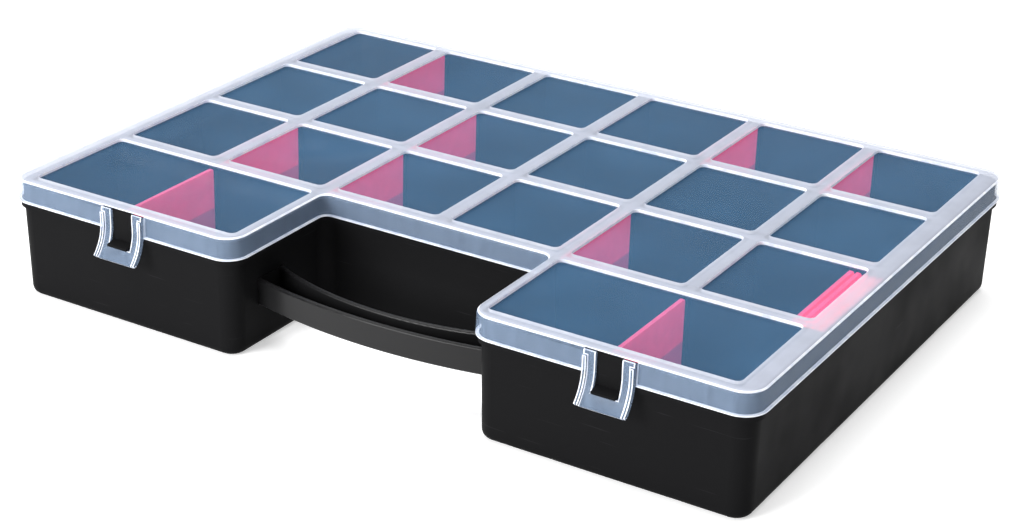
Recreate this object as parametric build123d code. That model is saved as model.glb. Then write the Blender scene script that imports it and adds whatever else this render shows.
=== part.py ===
from build123d import *
import math
import os

# Divided storage case: a black drafted tray with a U-shaped plan, a clear hinged lid with two
# latches, a carrying handle across the notch, and loose dividers in some of its rows.
# Millimetres. +X runs along the front, +Y to the back, +Z up; the case stands on Z = 0.
# The origin is under the middle of the whole case, latches and hinges included.

# Grid of compartments, from centre line to centre line of its walls
COLUMNS = 6
ROWS = 4
COLUMN_PITCH = 62.0
ROW_PITCH = 65.0
NOTCH_COLUMNS = 2

# Heights of the closed case
CASE_HEIGHT = 59.0
SKIRT_HEIGHT = 11.0
FLANGE_HEIGHT = 2.6
FLANGE_GAP = 0.4

# Tray walls; a reach is how far a face stands outside the outer grid lines
TRAY_REACH = 1.6
FLANGE_REACH = 3.0
TRAY_WALL = 2.0
TRAY_FLOOR = 2.0
TRAY_DRAFT = 0.9
NOTCH_SET = 1.5
CORNER_RADIUS = 7.0
NOTCH_RADIUS = 8.0
BOTTOM_RADIUS = 4.0
INNER_RADIUS = 2.0
INNER_WALL = 1.6
INNER_WALL_SPREAD = 0.8

# Lid
LID_REACH = 4.0
LID_SHEET = 1.2
LID_SKIRT = 1.4
LID_DRAFT = 2.0
LID_EDGE_RADIUS = 2.4
LID_GAP = 0.3
RECESS_DEPTH = 1.5
RECESS_RADIUS = 3.0
COLUMN_BAND = 6.8
ROW_BAND = 6.6
SIDE_RIM = 6.8
END_RIM = 3.2
NOTCH_SIDE_RIM = 2.7
NOTCH_BACK_RIM = 4.8

# Dividers
DIVIDER_THICKNESS = 1.8
DIVIDER_LOWER_THICKNESS = 1.2
DIVIDER_STEP_SHARE = 0.45
DIVIDER_CORNER = 2.0
DIVIDER_GAP = 0.3
SLOT_GAP = 0.25
GUIDE_WIDTH = 1.2
GUIDE_GRIP = 1.6
SPARE_COUNT = 5
SPARE_GAP = 0.3
SPARE_SPREAD = 1.6

# Handle
HANDLE_TOP = 33.0
HANDLE_HEIGHT = 12.5
HANDLE_WALL = 2.6
HANDLE_FLOOR = 2.4
HANDLE_EDGE = 1.0
HANDLE_FRONT_SET = 8.8
HANDLE_FRONT_BOW = 7.5
HANDLE_WIDTH = 12.6
HANDLE_BACK_BOW = 13.5
TENON_LENGTH = 3.0
TENON_GAP = 0.3
SOCKET_WALL = 1.6

# Hinge at the back
HINGE_COUNT = 3
HINGE_SPACING = 124.0
HINGE_SET = 8.2
HINGE_DROP = 1.4
PIN_RADIUS = 2.0
PIN_GAP = 0.07
CLIP_WALL = 1.8
CLIP_WIDTH = 20.0
CLIP_MOUTH = 3.2
EAR_THICKNESS = 3.0
EAR_RADIUS = 3.2
EAR_GAP = 0.4
EAR_DEPTH = 9.0

# Latches and their catches
LATCH_WIDTH = 23.0
LATCH_SHIFT = 2.4
LATCH_SIDE_GAP = 0.5
LATCH_SHEET = 1.4
LATCH_PROUD = 0.6
LATCH_RIM = 0.9
LATCH_RIM_WIDTH = 1.8
LATCH_AXIS_DROP = 1.6
LATCH_TOP_GAP = 0.2
LATCH_STRAIGHT = 6.4
LATCH_LENGTH = 21.1
LATCH_FLARE = 6.0
LATCH_CORNER = 2.0
WINDOW_WIDTH = 12.0
WINDOW_DEPTH = 16.0
CATCH_GAP = 0.5
CATCH_LEDGE = 2.0
CATCH_LEDGE_GAP = 0.4
CATCH_LEDGE_REACH = 4.6
CATCH_SET = 0.6
CATCH_PLATE = 1.2

# Cuts run this far past the faces that they open, and lengths this close count as equal
PAST = 1.0
SMALL = 0.01

# Column lines that carry a loose divider in each row; the other inner lines have moulded walls
DIVIDER_LINES = {0: (1, 5), 1: (1, 2, 4), 2: (2,), 3: (1, 4, 5)}
SPARE_ROW = 1

# Worked out from the sizes above
HALF_WIDTH = COLUMNS * COLUMN_PITCH / 2
GRID_DEPTH = ROWS * ROW_PITCH
TRAY_SLOPE = math.tan(math.radians(TRAY_DRAFT))
CLIP_RADIUS = PIN_RADIUS + PIN_GAP + CLIP_WALL
LATCH_TURN = 2 * math.atan(LATCH_FLARE / (LATCH_LENGTH - LATCH_STRAIGHT))
FRONT_EXTENT = LID_REACH + LATCH_PROUD + LATCH_FLARE + LATCH_RIM * math.cos(LATCH_TURN)
BACK_EXTENT = HINGE_SET + CLIP_RADIUS
FRONT_Y = (FRONT_EXTENT - BACK_EXTENT - GRID_DEPTH) / 2
BACK_Y = FRONT_Y + GRID_DEPTH
NOTCH_X = NOTCH_COLUMNS * COLUMN_PITCH / 2 + NOTCH_SET
NOTCH_Y = FRONT_Y + ROW_PITCH + NOTCH_SET
TRAY_HEIGHT = CASE_HEIGHT - RECESS_DEPTH - LID_SHEET - LID_GAP
SKIRT_Z = CASE_HEIGHT - SKIRT_HEIGHT
FLANGE_TOP = SKIRT_Z - FLANGE_GAP
LATCH_LINES = (1, COLUMNS - 1)
HINGE_Y = BACK_Y + HINGE_SET
HINGE_Z = SKIRT_Z - HINGE_DROP
LATCH_Y = FRONT_Y - LID_REACH - LATCH_PROUD + LATCH_SHEET / 2
LATCH_Z = CASE_HEIGHT - LATCH_AXIS_DROP
LATCH_BEND = (LATCH_LENGTH - LATCH_STRAIGHT) / math.sin(LATCH_TURN)
CUTOUT_TOP = LATCH_Z + LATCH_SHEET / 2 + LATCH_TOP_GAP
WINDOW_BOTTOM = LATCH_Z - WINDOW_DEPTH
DIVIDER_WIDTH = (ROW_PITCH - INNER_WALL / 2 - (NOTCH_SET - TRAY_REACH + TRAY_WALL)
                 - 2 * DIVIDER_GAP)
DIVIDER_HEIGHT = TRAY_HEIGHT - TRAY_FLOOR


def column_x(line):
    """The X of a column line, counted from the left."""
    return line * COLUMN_PITCH - HALF_WIDTH


def row_y(line):
    """The Y of a row line, counted from the front."""
    return FRONT_Y + line * ROW_PITCH


def latch_x(line):
    """The middle of the latch near a column line; both stand a little to its right."""
    return column_x(line) + LATCH_SHIFT


def tray_reach(z):
    """How far the drafted tray's outer face stands outside the grid lines at a height."""
    return TRAY_REACH - (TRAY_HEIGHT - z) * TRAY_SLOPE


def block(x0, x1, y0, y1, z0, z1):
    """A box between two corners."""
    place = Pos((x0 + x1) / 2, (y0 + y1) / 2, (z0 + z1) / 2)
    return place * Box(x1 - x0, y1 - y0, z1 - z0)


def plan(reach, z):
    """The case's U-shaped plan, its edge moved out by a reach, as a face at a height."""
    right, front, back = HALF_WIDTH + reach, FRONT_Y - reach, BACK_Y + reach
    notch_x, notch_y = NOTCH_X - reach, NOTCH_Y - reach
    corners = [(-right, front), (-notch_x, front), (-notch_x, notch_y), (notch_x, notch_y),
               (notch_x, front), (right, front), (right, back), (-right, back)]
    outer, inner = CORNER_RADIUS + reach, NOTCH_RADIUS - reach
    radii = [outer, outer, inner, inner, outer, outer, outer, outer]
    edge = FilletPolyline(*corners, radius=radii, close=True)
    return Pos(0, 0, z) * make_face(edge)


def side_profile(points, x0, x1):
    """A prism along X whose section is a list of (Y, Z) points."""
    section = make_face(Polyline(*[(x0, y, z) for y, z in points], close=True))
    return extrude(section, amount=x1 - x0, dir=(1, 0, 0))


def front_profile(points, y0, y1):
    """A prism along Y whose section is a list of (X, Z) points."""
    section = make_face(Polyline(*[(x, y0, z) for x, z in points], close=True))
    return extrude(section, amount=y1 - y0, dir=(0, 1, 0))


def rod(radius, x0, x1, y, z):
    """A round bar along X."""
    return Pos((x0 + x1) / 2, y, z) * Rot(0, 90, 0) * Cylinder(radius, x1 - x0)


# Tray

def tray_body():
    """The tray's drafted outside, filled."""
    body = extrude(plan(tray_reach(0), 0), amount=TRAY_HEIGHT, taper=-TRAY_DRAFT)
    return fillet(body.edges().group_by(Axis.Z)[0], BOTTOM_RADIUS)


def tray_cavity():
    """The space inside the tray's outer walls."""
    foot = plan(tray_reach(TRAY_FLOOR) - TRAY_WALL, TRAY_FLOOR)
    cavity = extrude(foot, amount=DIVIDER_HEIGHT + PAST, taper=-TRAY_DRAFT)
    return fillet(cavity.edges().group_by(Axis.Z)[0], INNER_RADIUS)


def wall_section(middle):
    """A moulded inner wall's section, thicker at its foot, about a middle line."""
    top, foot = INNER_WALL / 2, INNER_WALL / 2 + INNER_WALL_SPREAD
    return [(middle - foot, 0), (middle + foot, 0), (middle + top, TRAY_HEIGHT),
            (middle - top, TRAY_HEIGHT)]


def row_walls():
    """The moulded walls along X, one on each inner row line."""
    return [side_profile(wall_section(row_y(line)), -HALF_WIDTH, HALF_WIDTH)
            for line in range(1, ROWS)]


def in_notch(row, line):
    """Whether a column line of a row is outside the U-shaped plan, or its very edge."""
    return row == 0 and abs(line - COLUMNS / 2) <= NOTCH_COLUMNS / 2


def column_walls():
    """The moulded walls along Y, where a row has no loose divider."""
    return [front_profile(wall_section(column_x(line)), row_y(row), row_y(row + 1))
            for row in range(ROWS) for line in range(1, COLUMNS)
            if line not in DIVIDER_LINES[row] and not in_notch(row, line)]


def row_middle(row, line):
    """The middle, along Y, of the space between a row's walls at a column line."""
    front = row_y(row) + INNER_WALL / 2
    back = row_y(row + 1) - INNER_WALL / 2
    if row == 0:
        front = FRONT_Y - TRAY_REACH + TRAY_WALL
    if row == ROWS - 1:
        back = BACK_Y + TRAY_REACH - TRAY_WALL
    if row == 1 and abs(line - COLUMNS / 2) <= NOTCH_COLUMNS / 2:
        front = NOTCH_Y - TRAY_REACH + TRAY_WALL
    return (front + back) / 2


def divider_ends(z):
    """Half the divider's width at a height, which follows the tray's draft."""
    return DIVIDER_WIDTH / 2 - (TRAY_HEIGHT - z) * TRAY_SLOPE


def guides(row, line):
    """The four ribs that hold a loose divider by its two ends."""
    x, y = column_x(line), row_middle(row, line)
    near = DIVIDER_THICKNESS / 2 + SLOT_GAP
    ribs = []
    for side, wall in ((-1, row_y(row)), (1, row_y(row + 1))):
        grip = [y + side * (divider_ends(z) - GUIDE_GRIP) for z in (0, TRAY_HEIGHT)]
        section = [(wall, 0), (grip[0], 0), (grip[1], TRAY_HEIGHT), (wall, TRAY_HEIGHT)]
        ribs += [side_profile(section, x + near, x + near + GUIDE_WIDTH),
                 side_profile(section, x - near - GUIDE_WIDTH, x - near)]
    return ribs


def flange():
    """The ledge around the outside that the lid's skirt closes down to."""
    foot = FLANGE_TOP - FLANGE_HEIGHT
    ring = extrude(plan(FLANGE_REACH, foot), amount=FLANGE_HEIGHT)
    return ring - extrude(plan(tray_reach(foot) - TRAY_WALL / 2, foot), amount=FLANGE_HEIGHT)


def catch(line):
    """The pad and ledge on the front that a latch closes over."""
    x = latch_x(line)
    half = WINDOW_WIDTH / 2 - CATCH_GAP
    face = FRONT_Y - LID_REACH + CATCH_SET
    ledge = WINDOW_BOTTOM + CATCH_LEDGE_GAP
    pad = block(x - half, x + half, face, FRONT_Y, ledge, TRAY_HEIGHT)
    pad += block(x - half, x + half, face, face + CATCH_PLATE, ledge, CUTOUT_TOP - CATCH_GAP)
    tongue = FRONT_Y - LID_REACH - CATCH_LEDGE_REACH
    lip = side_profile([(face + PAST, ledge), (tongue, ledge), (tongue, ledge + CATCH_LEDGE / 2),
                        (face, ledge + CATCH_LEDGE), (face + PAST, ledge + CATCH_LEDGE)],
                       x - half, x + half)
    return pad + lip


def hinge_ears(x):
    """Two ears with a pin between them, behind the tray's back wall."""
    root = BACK_Y - TRAY_WALL / 4
    half = CLIP_WIDTH / 2 + EAR_GAP
    web = [(root, FLANGE_TOP), (HINGE_Y - EAR_RADIUS, FLANGE_TOP), (HINGE_Y, HINGE_Z),
           (HINGE_Y, HINGE_Z - EAR_RADIUS), (root, HINGE_Z - EAR_DEPTH)]
    ears = rod(PIN_RADIUS, x - half - PAST, x + half + PAST, HINGE_Y, HINGE_Z)
    for start in (x - half - EAR_THICKNESS, x + half):
        ears += side_profile(web, start, start + EAR_THICKNESS)
        ears += rod(EAR_RADIUS, start, start + EAR_THICKNESS, HINGE_Y, HINGE_Z)
    return ears


def hinge_places():
    """The X of each hinge station."""
    return [(i - (HINGE_COUNT - 1) / 2) * HINGE_SPACING for i in range(HINGE_COUNT)]


def handle_end():
    """The handle's section where it enters a tongue: its X, front, back, bottom and top."""
    front = FRONT_Y + HANDLE_FRONT_SET + HANDLE_FRONT_BOW
    back = FRONT_Y + HANDLE_FRONT_SET + HANDLE_WIDTH + HANDLE_BACK_BOW
    bottom = HANDLE_TOP - HANDLE_HEIGHT
    return NOTCH_X - tray_reach(bottom), front, back, bottom, HANDLE_TOP


def socket(side, gap, wall):
    """A block at the root of the handle, with a gap and a wall around its tenon."""
    x, front, back, bottom, top = handle_end()
    grow = gap + wall
    inner = NOTCH_X - tray_reach(top) - (0 if wall else PAST)
    ends = sorted((side * inner, side * (x + TENON_LENGTH + grow)))
    return block(*ends, front - grow, back + grow, bottom - grow, top + grow)


def tray():
    """The whole tray: shell, inner walls, guides, flange, catches, hinge ears and sockets."""
    outside = tray_body()
    inside = row_walls() + column_walls()
    for row, lines in DIVIDER_LINES.items():
        for line in lines:
            inside += guides(row, line)
    inside += [socket(side, TENON_GAP, SOCKET_WALL) for side in (-1, 1)]
    shell = outside - tray_cavity()
    kept = [piece & outside for piece in inside]
    result = shell.fuse(*kept, flange(), *[catch(line) for line in LATCH_LINES],
                        *[hinge_ears(x) for x in hinge_places()])
    return result.cut(*[socket(side, TENON_GAP, 0) for side in (-1, 1)])


# Dividers

def divider():
    """One loose divider, standing on Z = 0 across the YZ plane."""
    step = DIVIDER_HEIGHT * DIVIDER_STEP_SHARE
    foot, neck, top = [divider_ends(TRAY_FLOOR + z) for z in (0, step, DIVIDER_HEIGHT)]
    upper = side_profile([(-neck, step), (neck, step), (top, DIVIDER_HEIGHT - DIVIDER_CORNER),
                          (top - DIVIDER_CORNER, DIVIDER_HEIGHT),
                          (DIVIDER_CORNER - top, DIVIDER_HEIGHT),
                          (-top, DIVIDER_HEIGHT - DIVIDER_CORNER)],
                         -DIVIDER_THICKNESS / 2, DIVIDER_THICKNESS / 2)
    cut = INNER_RADIUS
    lower = side_profile([(cut - foot, 0), (foot - cut, 0), (foot, cut), (neck, step),
                          (-neck, step), (-foot, cut)],
                         -DIVIDER_LOWER_THICKNESS / 2, DIVIDER_LOWER_THICKNESS / 2)
    return upper + lower


def placed_divider(row, line):
    """A divider in its slot."""
    return Pos(column_x(line), row_middle(row, line), TRAY_FLOOR) * divider()


def spare_divider(index):
    """One of the spares: its foot clears the tray's rounded corner, its top leans on the wall."""
    wall_top = HALF_WIDTH + TRAY_REACH - TRAY_WALL - SPARE_GAP
    foot = HALF_WIDTH + tray_reach(TRAY_FLOOR) - TRAY_WALL - INNER_RADIUS - SPARE_GAP
    lean = math.asin((wall_top - foot) / DIVIDER_HEIGHT)
    pitch = (DIVIDER_THICKNESS + SPARE_SPREAD) / math.cos(lean)
    x = foot - DIVIDER_THICKNESS / 2 - index * pitch
    z = TRAY_FLOOR + DIVIDER_THICKNESS / 2 * math.sin(lean)
    return Pos(x, row_middle(SPARE_ROW, COLUMNS), z) * Rot(0, math.degrees(lean), 0) * divider()


# Lid

def window(column0, column1, row):
    """A recessed window of the lid between two column lines: X0, X1, Y0, Y1."""
    x0 = column_x(column0) + (SIDE_RIM if column0 == 0 else COLUMN_BAND / 2)
    x1 = column_x(column1) - (SIDE_RIM if column1 == COLUMNS else COLUMN_BAND / 2)
    y0 = row_y(row) + ROW_BAND / 2
    y1 = row_y(row + 1) - (END_RIM if row == ROWS - 1 else ROW_BAND / 2)
    first, last = (COLUMNS - NOTCH_COLUMNS) / 2, (COLUMNS + NOTCH_COLUMNS) / 2
    if row == 0:
        y0 = row_y(0) + END_RIM
        x0 = column_x(column0) + (SIDE_RIM if column0 == 0 else NOTCH_SIDE_RIM)
        x1 = column_x(column1) - (SIDE_RIM if column1 == COLUMNS else NOTCH_SIDE_RIM)
    elif row == 1 and first <= column0 and column1 <= last:
        y0 = row_y(1) + NOTCH_BACK_RIM
    return x0, x1, y0, y1


def windows():
    """Every window: one over each compartment, and one over the two of each tongue."""
    tongue = (COLUMNS - NOTCH_COLUMNS) // 2
    singles = [window(column, column + 1, row) for row in range(1, ROWS)
               for column in range(COLUMNS)]
    return singles + [window(0, tongue, 0), window(COLUMNS - tongue, COLUMNS, 0)]


def lid_clip(x):
    """The clip that snaps over a hinge pin, with its arm from the skirt."""
    half = CLIP_WIDTH / 2
    top = HINGE_Z + CLIP_RADIUS
    ring = rod(CLIP_RADIUS, x - half, x + half, HINGE_Y, HINGE_Z)
    arm = block(x - half, x + half, BACK_Y + LID_REACH - LID_SKIRT / 2, HINGE_Y, SKIRT_Z, top)
    bore = rod(PIN_RADIUS + PIN_GAP, x - half - PAST, x + half + PAST, HINGE_Y, HINGE_Z)
    mouth = block(x - half - PAST, x + half + PAST, HINGE_Y - CLIP_MOUTH / 2,
                  HINGE_Y + CLIP_MOUTH / 2, HINGE_Z - CLIP_RADIUS - PAST, HINGE_Z)
    return ring + arm - bore - mouth


def latch_cutout(line):
    """The opening in the skirt that a latch hangs in."""
    half = LATCH_WIDTH / 2 + LATCH_SIDE_GAP
    x = latch_x(line)
    front = FRONT_Y - LID_REACH
    depth = max(LID_SKIRT, CATCH_SET + CATCH_PLATE) + CATCH_GAP
    return block(x - half, x + half, front - PAST, front + depth, SKIRT_Z - PAST, CUTOUT_TOP)


def lid():
    """The lid: a skirted sheet whose windows are sunk between flat bands."""
    outside = extrude(plan(LID_REACH, SKIRT_Z), amount=SKIRT_HEIGHT, taper=LID_DRAFT)
    outside = fillet(outside.edges().group_by(Axis.Z)[-1], LID_EDGE_RADIUS)
    inside = extrude(plan(LID_REACH - LID_SKIRT, SKIRT_Z), amount=SKIRT_HEIGHT - LID_SHEET,
                     taper=LID_DRAFT)
    panel_z = CASE_HEIGHT - RECESS_DEPTH - LID_SHEET
    panels, recesses = [], []
    for x0, x1, y0, y1 in windows():
        panels.append(block(x0 - LID_SHEET, x1 + LID_SHEET, y0 - LID_SHEET, y1 + LID_SHEET,
                            panel_z, CASE_HEIGHT - LID_SHEET / 2))
        recess = block(x0, x1, y0, y1, CASE_HEIGHT - RECESS_DEPTH, CASE_HEIGHT + PAST)
        recesses.append(fillet(recess.edges().filter_by(Axis.Z), RECESS_RADIUS))
    sheet = (outside - inside).fuse(*panels, *[lid_clip(x) for x in hinge_places()])
    return sheet.cut(*recesses, *[latch_cutout(line) for line in LATCH_LINES])


# Latches

def flap(ahead, behind, top, x0, x1):
    """A latch's curved sheet between two depths behind its front face, from a height down."""
    front, start = LATCH_Y - LATCH_SHEET / 2, LATCH_Z - LATCH_STRAIGHT

    def bent(depth, share):
        radius, angle = LATCH_BEND + depth, share * LATCH_TURN
        return x0, front - LATCH_BEND + radius * math.cos(angle), start - radius * math.sin(angle)

    arcs = [ThreePointArc(*[bent(depth, share) for share in (0, 1 / 2, 1)])
            for depth in (ahead, behind)]
    over = [(x0, front + depth, top) for depth in (ahead, behind)]
    sides = [Line(point, arc @ 0) for point, arc in zip(over, arcs)]
    section = make_face([*arcs, *sides, Line(*over), Line(arcs[0] @ 1, arcs[1] @ 1)])
    return extrude(section, amount=x1 - x0, dir=(1, 0, 0))


def latch(line):
    """A fork-shaped flap hinged at the lid's edge, with raised sides and a flared lip."""
    x, half = latch_x(line), LATCH_WIDTH / 2
    sheet = flap(0, LATCH_SHEET, LATCH_Z, x - half, x + half)
    corners = [edge for edge in sheet.edges().filter_by(Axis.X, reverse=True)
               if edge.center().Z < LATCH_Z - LATCH_LENGTH
               and abs(edge.length - LATCH_SHEET) < SMALL]
    sheet = fillet(corners, LATCH_CORNER)
    sheet += rod(LATCH_SHEET / 2, x - half, x + half, LATCH_Y, LATCH_Z)
    for start in (x - half, x + half - LATCH_RIM_WIDTH):
        rim = flap(-LATCH_RIM, LATCH_SHEET / 2, LATCH_Z - LATCH_SHEET, start,
                   start + LATCH_RIM_WIDTH)
        sheet += rim
    return sheet - block(x - WINDOW_WIDTH / 2, x + WINDOW_WIDTH / 2,
                         LATCH_Y - LATCH_FLARE - LATCH_SHEET, LATCH_Y + LATCH_SHEET,
                         WINDOW_BOTTOM, CUTOUT_TOP)


# Handle

def bow(front_set, sag, reach):
    """The arc through both ends of the handle, bowed to the front by a sag: its end points."""
    y = FRONT_Y + front_set
    return ThreePointArc((-reach, y + sag), (0, y), (reach, y + sag))


def handle_band(front_inset, back_inset, z0, z1):
    """The handle's curved plan, its two sides moved in, between two heights."""
    reach = handle_end()[0] + TENON_GAP
    ahead = bow(HANDLE_FRONT_SET + front_inset, HANDLE_FRONT_BOW, reach)
    behind = bow(HANDLE_FRONT_SET + HANDLE_WIDTH - back_inset, HANDLE_BACK_BOW, reach)
    sides = [Line(ahead @ 1, behind @ 1), Line(behind @ 0, ahead @ 0)]
    face = make_face([ahead, behind, *sides])
    return extrude(Pos(0, 0, z0) * face, amount=z1 - z0, dir=(0, 0, 1))


def handle():
    """The carrying handle: an upward channel, bowed to the front, with a tenon at each end."""
    x, front, back, bottom, top = handle_end()
    grip = handle_band(0, 0, bottom, top)
    grip -= handle_band(HANDLE_WALL, HANDLE_WALL, bottom + HANDLE_FLOOR, top + PAST)
    grip = fillet(grip.edges().filter_by(GeomType.CIRCLE), HANDLE_EDGE)
    for side in (-1, 1):
        ends = sorted((side * (NOTCH_X - tray_reach(top)), side * (x + TENON_LENGTH)))
        grip += block(*ends, front, back, bottom, top)
    return grip


def save(shape, name):
    """Writes one part of the case."""
    export_step(shape, "parts/" + name + ".step")


os.makedirs("parts", exist_ok=True)
save(tray(), "tray")
save(lid(), "lid")
save(latch(LATCH_LINES[0]), "left_latch")
save(latch(LATCH_LINES[1]), "right_latch")
save(handle(), "handle")
ROW_NAMES = ("front", "second", "third", "back")
for row, lines in DIVIDER_LINES.items():
    for line in lines:
        save(placed_divider(row, line), f"divider_{ROW_NAMES[row]}_{line}")
for index in range(SPARE_COUNT):
    save(spare_divider(index), f"spare_divider_{index + 1}")
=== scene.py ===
import math

import bmesh
import bpy
from mathutils import Matrix, Vector


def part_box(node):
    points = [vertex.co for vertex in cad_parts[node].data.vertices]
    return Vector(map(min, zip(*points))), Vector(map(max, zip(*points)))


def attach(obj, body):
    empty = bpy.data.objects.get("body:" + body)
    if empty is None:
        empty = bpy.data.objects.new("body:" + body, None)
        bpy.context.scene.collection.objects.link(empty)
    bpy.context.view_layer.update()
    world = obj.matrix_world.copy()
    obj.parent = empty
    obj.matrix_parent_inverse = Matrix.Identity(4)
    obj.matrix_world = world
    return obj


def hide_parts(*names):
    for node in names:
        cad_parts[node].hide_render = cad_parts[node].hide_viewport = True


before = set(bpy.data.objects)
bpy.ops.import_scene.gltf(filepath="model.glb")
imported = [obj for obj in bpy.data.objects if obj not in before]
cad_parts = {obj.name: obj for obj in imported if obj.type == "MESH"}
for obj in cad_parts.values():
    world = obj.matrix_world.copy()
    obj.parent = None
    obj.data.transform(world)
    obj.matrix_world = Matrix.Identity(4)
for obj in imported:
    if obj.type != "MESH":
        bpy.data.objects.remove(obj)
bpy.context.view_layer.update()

bl_info = {
    "name": "Divided storage case",
    "version": (1, 0, 0),
    "blender": (4, 5, 0),
    "location": "View3D > Sidebar > Case",
    "description": "Dresses a divided case: clear lid, latches, tray, handle, dividers and stage",
    "category": "Object",
}

MM = 0.001
IMAGE_WIDTH = 1024

# The lid's box, and how far its hinge clips reach in from the back
LID_LOW, LID_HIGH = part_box("lid")
HINGE_DEPTH = 15 * MM
# The lid's sheet is thinner than this, and its heights are told apart to this
SHEET_LIMIT = 1.4 * MM
HEIGHT_STEP = 0.1 * MM
# The side walls of the cutouts for the latches lie within this of the lid's front
CUTOUT_DEPTH = 3 * MM
# The outer rounding of the lid's top gets the painted highlight between these parts of its turn
ROUNDING_FLAT = 0.85
ROUNDING_STEEP = 0.6
EDGE_ROUNDING = 0.15 * MM
# How far a latch's top is drawn up into the gap of its living hinge
LATCH_TOP_ZONE = 0.2 * MM
LATCH_TOP_LIFT = 0.15 * MM
# Each latch rides on the body of its own name
LATCHES = ("left_latch", "right_latch")
DIVIDERS = sorted(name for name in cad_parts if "divider" in name)

# Places of the finishes on the lid and on a latch; the last of each is the painted highlight on
# edges
BAND, WINDOW, SKIRT, LID_PAINTED_HIGHLIGHT = range(4)
LATCH_SHEET, LATCH_PAINTED_HIGHLIGHT = range(2)


def linear(colour):
    """An sRGB hex colour such as "F2C14E" as linear RGBA."""
    levels = [int(colour[i:i + 2], 16) / 255 for i in (0, 2, 4)]
    return tuple(v / 12.92 if v <= 0.04045 else ((v + 0.055) / 1.055) ** 2.4
                 for v in levels) + (1.0,)


class CaseSizes(bpy.types.PropertyGroup):
    """Sizes that a user may change."""

    # Width of the painted highlight along the skirt's rim and around the latches' fronts
    edge: bpy.props.FloatProperty(
        name="Edge", description="Width of the bright edges of the skirt and latches",
        default=0.5 * MM, min=0.0, unit="LENGTH")
    window_sink: bpy.props.FloatProperty(
        name="Window sink", description="How far the windows lie below the lid's bands",
        default=1.5 * MM, unit="LENGTH")
    skirt_height: bpy.props.FloatProperty(
        name="Skirt height", description="Height of the lid from its skirt's edge to its top",
        default=11 * MM, unit="LENGTH")
    # Height below which a divider is painted darker: partly a thinner wall that lets the tray
    # show, partly painted shade deep in the tray
    divider_shade_step: bpy.props.FloatProperty(
        name="Divider shade step", description="Height below which a divider lets the tray show",
        default=36.5 * MM, unit="LENGTH")


class CaseColours(bpy.types.PropertyGroup):
    """Colours that a user may change."""

    black: bpy.props.FloatVectorProperty(
        name="Black", description="Tray and handle", subtype="COLOR", size=4,
        default=linear("181819"))
    pink: bpy.props.FloatVectorProperty(
        name="Pink", description="Dividers", subtype="COLOR", size=4,
        default=linear("FF4478"))
    haze: bpy.props.FloatVectorProperty(
        name="Haze", description="The blue that the clear sheet scatters", subtype="COLOR",
        size=4, default=linear("67A2D6"))
    milk: bpy.props.FloatVectorProperty(
        name="Milk", description="The frosted bands of the lid", subtype="COLOR", size=4,
        default=linear("D2D8E8"))


def settings():
    """The case's sizes and colours."""
    return bpy.context.scene.case_sizes, bpy.context.scene.case_colours


def node(tree, kind, links=None, **values):
    """Adds a shader node: values are its settings or inputs, links join inputs to sockets."""
    new = tree.nodes.new(kind)
    for key, value in values.items():
        if hasattr(new, key):
            setattr(new, key, value)
        else:
            new.inputs[key.replace("_", " ")].default_value = value
    for key, socket in (links or {}).items():
        tree.links.new(socket, new.inputs[key])
    return new


def surface(name, colour, roughness, alpha=1.0, specular=0.5):
    """A new material: its tree and its principled shader, with the constant values set."""
    material = bpy.data.materials.new(name)
    material.use_nodes = True
    tree = material.node_tree
    shader = tree.nodes["Principled BSDF"]
    shader.inputs["Base Color"].default_value = colour
    shader.inputs["Roughness"].default_value = roughness
    shader.inputs["IOR"].default_value = 1.49
    shader.inputs["Alpha"].default_value = alpha
    shader.inputs["Specular IOR Level"].default_value = specular
    return material, tree, shader


def pattern(tree, grain, detail=2.0, stretch=(1.0, 1.0, 1.0), turn=0.0):
    """Noise with a real grain size in metres, drawn out along an axis by a stretch."""
    place = node(tree, "ShaderNodeTexCoord")
    mapping = node(tree, "ShaderNodeMapping", {"Vector": place.outputs["Object"]},
                   Scale=tuple(1 / (grain * s) for s in stretch), Rotation=(0, turn, 0))
    return node(tree, "ShaderNodeTexNoise", {"Vector": mapping.outputs["Vector"]},
                Scale=1.0, Detail=detail, Roughness=0.55).outputs["Fac"]


def level(tree, source, low, high, start=0.35, stop=0.65):
    """A pattern's middle range mapped to two values."""
    new = node(tree, "ShaderNodeMapRange", {"Value": source}, From_Min=start, From_Max=stop,
               To_Min=low, To_Max=high)
    return new.outputs["Result"]


def tint(tree, source, first, second):
    """A colour between two, by a pattern."""
    new = node(tree, "ShaderNodeMix", {0: source}, data_type="RGBA")
    new.inputs[6].default_value, new.inputs[7].default_value = first, second
    return new.outputs[2]


def relief(tree, shader, source, height, strength):
    """A pattern as fine relief of a real height."""
    bump = node(tree, "ShaderNodeBump", {"Height": source}, Distance=height, Strength=strength)
    tree.links.new(bump.outputs["Normal"], shader.inputs["Normal"])


def scaled(colour, factor):
    """A colour made lighter or darker."""
    return tuple(v * factor for v in colour[:3]) + (1.0,)


def black_polypropylene(name, roughness, shine):
    """Injection moulded black polypropylene: a satin skin with fine spark-eroded grain, cloudy
    where the melt flowed, and greyed by long thin scuffs from use. The handle's is smoother
    than the tray's, from the hands that carry it."""
    _, colours = settings()
    black = tuple(colours.black)
    material, tree, shader = surface(name, black, roughness, specular=shine)
    clouds = level(tree, pattern(tree, 35 * MM), roughness - 0.06, roughness + 0.08)
    scuffs = level(tree, pattern(tree, 0.9 * MM, 1.0, (26.0, 26.0, 1.0), 0.6), 0, 1, 0.72, 0.80)
    colour = tint(tree, scuffs, black, scaled(black, 1.9))
    tree.links.new(colour, shader.inputs["Base Color"])
    tree.links.new(clouds, shader.inputs["Roughness"])
    # A real grain of 0.1 mm doesn't show at this size, so it is drawn at 0.5 mm
    relief(tree, shader, pattern(tree, 0.5 * MM, 3.0), 0.05 * MM, 0.35)
    return material


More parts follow.
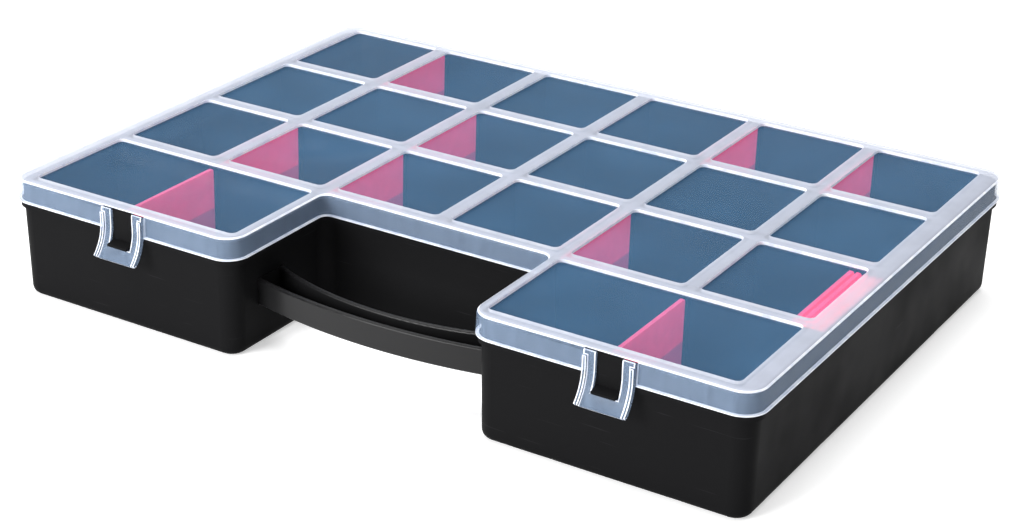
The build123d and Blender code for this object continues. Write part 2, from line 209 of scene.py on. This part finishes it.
def polished_window():
    """The lid's windows, moulded against a polished steel face: clear natural polypropylene
    that scatters a little blue, with slight ripples that bend its reflections."""
    _, colours = settings()
    haze = tuple(colours.haze)
    material, tree, shader = surface("polished natural polypropylene", haze, 0.14,
                                     alpha=0.17, specular=0.25)
    tree.links.new(tint(tree, level(tree, pattern(tree, 45 * MM), 0, 1), scaled(haze, 0.9),
                        scaled(haze, 1.08)), shader.inputs["Base Color"])
    tree.links.new(level(tree, pattern(tree, 12 * MM, 3.0), 0.12, 0.2),
                   shader.inputs["Roughness"])
    relief(tree, shader, pattern(tree, 22 * MM, 0.0), 0.03 * MM, 0.2)
    return material


def frosted_band():
    """The lid's flat bands, moulded against a grained face: milky natural polypropylene with a
    soft sheen."""
    _, colours = settings()
    milk = tuple(colours.milk)
    material, tree, shader = surface("frosted natural polypropylene", milk, 0.42,
                                     alpha=0.56, specular=0.3)
    tree.links.new(tint(tree, level(tree, pattern(tree, 12 * MM, 3.0), 0, 1),
                        scaled(milk, 0.92), milk), shader.inputs["Base Color"])
    relief(tree, shader, pattern(tree, 0.6 * MM, 3.0), 0.04 * MM, 0.3)
    return material


def skirt_sheet():
    """The upright skirt and the latches: the same sheet seen at its thickest, greyer and
    hazier than the windows, with faint flow marks down its height."""
    _, colours = settings()
    haze = tuple(colours.haze)
    grey = tuple(0.5 * a + 0.5 * b for a, b in zip(haze, colours.milk))
    material, tree, shader = surface("satin natural polypropylene", grey, 0.3,
                                     alpha=0.24, specular=0.25)
    flow = level(tree, pattern(tree, 2.2 * MM, 3.0, (1.0, 1.0, 7.0)), 0, 1)
    tree.links.new(tint(tree, flow, scaled(grey, 0.86), scaled(grey, 1.08)),
                   shader.inputs["Base Color"])
    tree.links.new(level(tree, flow, 0.24, 0.4, 0, 1), shader.inputs["Roughness"])
    return material


def painted_highlight_edge():
    """The cut and rounded edges of the milky sheet: a painted highlight, almost white, with a
    painted glow of their own."""
    _, colours = settings()
    milk = tuple(colours.milk)
    material, tree, shader = surface("painted highlight and glow on polypropylene edges", milk, 0.25,
                                     alpha=0.9)
    # Painted glow: the edges give off light, though they are no lamp
    shader.inputs["Emission Color"].default_value = milk
    shader.inputs["Emission Strength"].default_value = 0.3
    # Patches of the painted highlight go up to white
    tree.links.new(tint(tree, level(tree, pattern(tree, 5 * MM, 3.0), 0, 1), milk,
                        linear("FFFFFF")), shader.inputs["Base Color"])
    return material


def pink_polypropylene():
    """Moulded polypropylene with a fluorescent pink pigment. A painted glow, light given off in
    its own colour, makes it brighter than its surroundings; light passes through its thin wall.
    Below the divider step it is painted darker: partly its thinner wall letting the dark tray
    show, partly painted shade deep in the tray."""
    sizes, colours = settings()
    pink = tuple(colours.pink)
    material, tree, shader = surface("tinted pink polypropylene", pink, 0.35, specular=0.4)
    shader.inputs["Subsurface Weight"].default_value = 0.8
    shader.inputs["Subsurface Radius"].default_value = (1.0, 0.25, 0.35)
    shader.inputs["Subsurface Scale"].default_value = 6 * MM
    # Painted glow: the dividers give off light in their own colour, though they are no lamp
    shader.inputs["Emission Strength"].default_value = 0.5
    place = node(tree, "ShaderNodeTexCoord")
    parts = node(tree, "ShaderNodeSeparateXYZ", {"Vector": place.outputs["Object"]})
    # Below the divider step the colour is painted darker: partly the thinner wall letting the
    # black tray show, partly painted shade deep in the tray
    lower = level(tree, parts.outputs["Z"], 1, 0, sizes.divider_shade_step - 0.5 * MM,
                  sizes.divider_shade_step + 0.5 * MM)
    thin_and_shaded_pink = tint(tree, lower, pink, (pink[0] * 0.55, pink[1] * 1.2, pink[2] * 0.9, 1.0))
    mottle = level(tree, pattern(tree, 6 * MM, 3.0), 0.9, 1.0)
    colour = node(tree, "ShaderNodeMix", {6: thin_and_shaded_pink, 7: mottle}, data_type="RGBA",
                  blend_type="MULTIPLY")
    colour.inputs[0].default_value = 1.0
    tree.links.new(colour.outputs[2], shader.inputs["Base Color"])
    # The painted glow takes the same colour, so it is weaker in the painted shade below the step
    tree.links.new(colour.outputs[2], shader.inputs["Emission Color"])
    relief(tree, shader, pattern(tree, 0.7 * MM, 3.0), 0.04 * MM, 0.3)
    return material


def dress(name, material):
    """Gives a CAD node its finish."""
    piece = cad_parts[name]
    piece.data.materials.clear()
    piece.data.materials.append(material)


def merged_copy(name):
    """A CAD node's shape with its loose triangles joined into flat faces."""
    shape = bmesh.new()
    shape.from_mesh(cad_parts[name].data)
    bmesh.ops.remove_doubles(shape, verts=shape.verts, dist=0.002 * MM)
    bmesh.ops.dissolve_limit(shape, angle_limit=math.radians(0.5), verts=shape.verts,
                             edges=shape.edges, delimit={"NORMAL"})
    return shape


def sharp(edge):
    """Whether two faces meet at an edge that is cut or turned, not rounded."""
    return len(edge.link_faces) == 2 and edge.calc_face_angle(0) > math.radians(50)


def round_edges(shape, edges, index):
    """Rounds edges a little and gives the rounding a material of its own."""
    made = bmesh.ops.bevel(shape, geom=edges, offset=EDGE_ROUNDING, offset_type="OFFSET",
                           segments=2, profile=0.5, affect="EDGES", material=-1,
                           clamp_overlap=True)
    for face in made["faces"]:
        face.material_index = index


def outline(shape, faces, index):
    """Gives a sheet's front a narrow border with a material of its own."""
    sizes, _ = settings()
    made = bmesh.ops.inset_region(shape, faces=faces, thickness=sizes.edge, use_boundary=True,
                                  use_even_offset=True)
    for face in made["faces"]:
        face.material_index = index


def cut_level(shape, height):
    """Cuts a shape's faces at a height."""
    bmesh.ops.bisect_plane(shape, geom=shape.verts[:] + shape.edges[:] + shape.faces[:],
                           plane_co=(0, 0, height), plane_no=(0, 0, 1))


def at_height(edge, height):
    """Whether an edge lies flat at a height."""
    return all(abs(v.co.z - height) < HEIGHT_STEP / 2 for v in edge.verts)


def lid_finish(face, top, skirt, back):
    """Which finish a face of the lid has, from its height and the way it points."""
    sizes, _ = settings()
    window = top - sizes.window_sink
    centre, up = face.calc_center_median(), face.normal.z
    z = centre.z
    flat = abs(up) > 0.99
    if flat and abs(z - top) < HEIGHT_STEP:
        return BAND
    if flat and up < 0 and top - SHEET_LIMIT < z < top:
        return BAND
    if flat and window - SHEET_LIMIT < z < window + HEIGHT_STEP:
        return WINDOW
    if up > ROUNDING_FLAT and z > window:
        return BAND
    # The steeper part of the outer rounding, the upright walls of the window recesses, the
    # skirt's rim and the cutouts' sides get the painted highlight
    if up > ROUNDING_STEEP and z > window:
        return LID_PAINTED_HIGHLIGHT
    if abs(up) < 0.01 and z > window:
        return LID_PAINTED_HIGHLIGHT
    if skirt - HEIGHT_STEP < z < skirt + sizes.edge and centre.y < back:
        return LID_PAINTED_HIGHLIGHT
    if abs(face.normal.x) > 0.9 and centre.y < LID_LOW.y + CUTOUT_DEPTH:
        return LID_PAINTED_HIGHLIGHT
    return SKIRT


def finish(shape, name, materials):
    """Makes the piece that stands for a CAD node, on the body of the same name."""
    mesh = bpy.data.meshes.new("dressed_" + name)
    shape.to_mesh(mesh)
    shape.free()
    mesh.shade_smooth()
    mesh.set_sharp_from_angle(angle=math.radians(35))
    for material in materials:
        mesh.materials.append(material)
    piece = bpy.data.objects.new("dressed_" + name, mesh)
    bpy.context.scene.collection.objects.link(piece)
    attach(piece, name)
    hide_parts(name)


class CASE_OT_black_parts(bpy.types.Operator):
    """Finishes the tray and the handle in black polypropylene"""

    bl_idname = "case.black_parts"
    bl_label = "Tray and handle"

    def execute(self, context):
        tray_skin = black_polypropylene("moulded black polypropylene", 0.5, shine=0.02)
        handle_skin = black_polypropylene("handled black polypropylene", 0.34, shine=0.24)
        dress("tray", tray_skin)
        dress("handle", handle_skin)
        return {"FINISHED"}


class CASE_OT_dividers(bpy.types.Operator):
    """Finishes the loose and spare dividers in pink polypropylene"""

    bl_idname = "case.dividers"
    bl_label = "Dividers"

    def execute(self, context):
        material = pink_polypropylene()
        for name in DIVIDERS:
            dress(name, material)
        return {"FINISHED"}


class CASE_OT_lid(bpy.types.Operator):
    """Finishes the lid: polished windows between frosted bands, and a painted highlight and glow
    on its edges
    """

    bl_idname = "case.lid"
    bl_label = "Lid"

    def execute(self, context):
        sizes, _ = settings()
        top = LID_HIGH.z
        skirt = top - sizes.skirt_height
        back = LID_HIGH.y - HINGE_DEPTH
        shape = merged_copy("lid")
        cut_level(shape, skirt + sizes.edge)
        for face in shape.faces:
            face.material_index = lid_finish(face, top, skirt, back)
        edges = [edge for edge in shape.edges if sharp(edge)
                 and all(v.co.y < back for v in edge.verts)
                 and (at_height(edge, top) or at_height(edge, skirt))]
        # The rounded top and rim edges get the painted highlight
        round_edges(shape, edges, LID_PAINTED_HIGHLIGHT)
        finish(shape, "lid", (frosted_band(), polished_window(), skirt_sheet(), painted_highlight_edge()))
        return {"FINISHED"}


class CASE_OT_latches(bpy.types.Operator):
    """Finishes the two latches as the lid's skirt, with a painted highlight and glow on their
    edges
    """

    bl_idname = "case.latches"
    bl_label = "Latches"

    def execute(self, context):
        materials = (skirt_sheet(), painted_highlight_edge())
        for name in LATCHES:
            shape = merged_copy(name)
            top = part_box(name)[1].z
            for vert in shape.verts:
                if vert.co.z > top - LATCH_TOP_ZONE:
                    vert.co.z += LATCH_TOP_LIFT
            for face in shape.faces:
                face.material_index = LATCH_SHEET
            front = [face for face in shape.faces if face.normal.y < -0.3]
            # The front's border gets the painted highlight
            outline(shape, front, LATCH_PAINTED_HIGHLIGHT)
            # The rounded sharp edges get the painted highlight too
            round_edges(shape, [edge for edge in shape.edges if sharp(edge)], LATCH_PAINTED_HIGHLIGHT)
            finish(shape, name, materials)
        return {"FINISHED"}


# The camera solved from the photograph: where it stands, how it is turned, and its focal length
EYE = Vector((482.98, -794.1, 442.2)) * MM
HEADING = math.radians(31.35)
TILT = math.radians(24.81)
ROLL = math.radians(1.24)
FOCAL_PIXELS = 2167.5
SENSOR_WIDTH = 36.0


def add_camera():
    """The camera at the photograph's viewing angle."""
    data = bpy.data.cameras.new("photo_camera")
    data.sensor_width = SENSOR_WIDTH
    data.lens = FOCAL_PIXELS / IMAGE_WIDTH * SENSOR_WIDTH
    data.clip_end = 20
    camera = bpy.data.objects.new("photo_camera", data)
    turn = (Matrix.Rotation(HEADING, 4, "Z") @ Matrix.Rotation(math.pi / 2 - TILT, 4, "X")
            @ Matrix.Rotation(ROLL, 4, "Z"))
    camera.matrix_world = Matrix.Translation(EYE) @ turn
    bpy.context.scene.collection.objects.link(camera)
    bpy.context.scene.camera = camera


def add_lamp(name, place, aim, power, size):
    """A soft box that points at a spot."""
    data = bpy.data.lights.new(name, "AREA")
    data.energy = power
    data.shape = "RECTANGLE"
    data.size, data.size_y = size
    lamp = bpy.data.objects.new(name, data)
    direction = Vector(aim) - Vector(place)
    lamp.matrix_world = (Matrix.Translation(place)
                         @ direction.to_track_quat("-Z", "Y").to_matrix().to_4x4())
    bpy.context.scene.collection.objects.link(lamp)


def seen_rays(tree):
    """1 for rays that see the backdrop: the camera's, mirrored ones and ones through glass."""
    path = node(tree, "ShaderNodeLightPath")
    glossy = node(tree, "ShaderNodeMath", {0: path.outputs["Is Camera Ray"],
                                           1: path.outputs["Is Glossy Ray"]},
                  operation="MAXIMUM")
    seen = node(tree, "ShaderNodeMath", {0: glossy.outputs[0],
                                         1: path.outputs["Is Transmission Ray"]},
                operation="MAXIMUM")
    return seen.outputs[0]


def add_world():
    """A white backdrop that lights the case at a plain level."""
    world = bpy.data.worlds.new("studio")
    world.use_nodes = True
    tree = world.node_tree
    tree.nodes.clear()
    strength = level(tree, seen_rays(tree), 0.3, 1.0, 0, 1)
    light = node(tree, "ShaderNodeBackground", {"Strength": strength})
    light.inputs["Color"].default_value = (1.0, 1.0, 1.0, 1.0)
    node(tree, "ShaderNodeOutputWorld", {"Surface": light.outputs["Background"]})
    bpy.context.scene.world = world


def add_floor():
    """A plain white paper floor that keeps the case's shadow."""
    mesh = bpy.data.meshes.new("floor")
    shape = bmesh.new()
    bmesh.ops.create_grid(shape, x_segments=1, y_segments=1, size=3.0)
    shape.to_mesh(mesh)
    shape.free()
    floor = bpy.data.objects.new("floor", mesh)
    bpy.context.scene.collection.objects.link(floor)
    material, tree, shader = surface("matt white paper", linear("F6F6F6"), 0.9)
    shader.inputs["Emission Color"].default_value = (1.0, 1.0, 1.0, 1.0)
    tree.links.new(level(tree, seen_rays(tree), 0, 0.5, 0, 1),
                   shader.inputs["Emission Strength"])
    mesh.materials.append(material)


class CASE_OT_stage(bpy.types.Operator):
    """Sets up the camera, the lamps, the backdrop and the floor"""

    bl_idname = "case.stage"
    bl_label = "Stage"

    def execute(self, context):
        context.scene.view_settings.view_transform = "Standard"
        add_camera()
        add_world()
        add_floor()
        add_lamp("overhead", (-0.1, 0.2, 1.5), (0, 0, 0), 20, (1.2, 1.0))
        add_lamp("front_left", (-0.6, -1.5, 0.6), (0, 0, 0.03), 30, (0.8, 0.8))
        return {"FINISHED"}


class CASE_PT_panel(bpy.types.Panel):
    """Lists the case's sizes, colours and pieces"""

    bl_idname = "CASE_PT_panel"
    bl_label = "Divided case"
    bl_space_type = "VIEW_3D"
    bl_region_type = "UI"
    bl_category = "Case"

    def draw(self, context):
        for group in settings():
            for name in group.__annotations__:
                self.layout.prop(group, name)
        for operator in PIECES:
            self.layout.operator(operator.bl_idname)


PIECES = (CASE_OT_stage, CASE_OT_black_parts, CASE_OT_dividers, CASE_OT_lid, CASE_OT_latches)
CLASSES = (CaseSizes, CaseColours, *PIECES, CASE_PT_panel)


def register():
    for item in CLASSES:
        bpy.utils.register_class(item)
    bpy.types.Scene.case_sizes = bpy.props.PointerProperty(type=CaseSizes)
    bpy.types.Scene.case_colours = bpy.props.PointerProperty(type=CaseColours)


def unregister():
    del bpy.types.Scene.case_colours
    del bpy.types.Scene.case_sizes
    for item in reversed(CLASSES):
        bpy.utils.unregister_class(item)


def main():
    register()
    for operator in PIECES:
        group, name = operator.bl_idname.split(".")
        getattr(getattr(bpy.ops, group), name)()


if __name__ == "__main__":
    main()
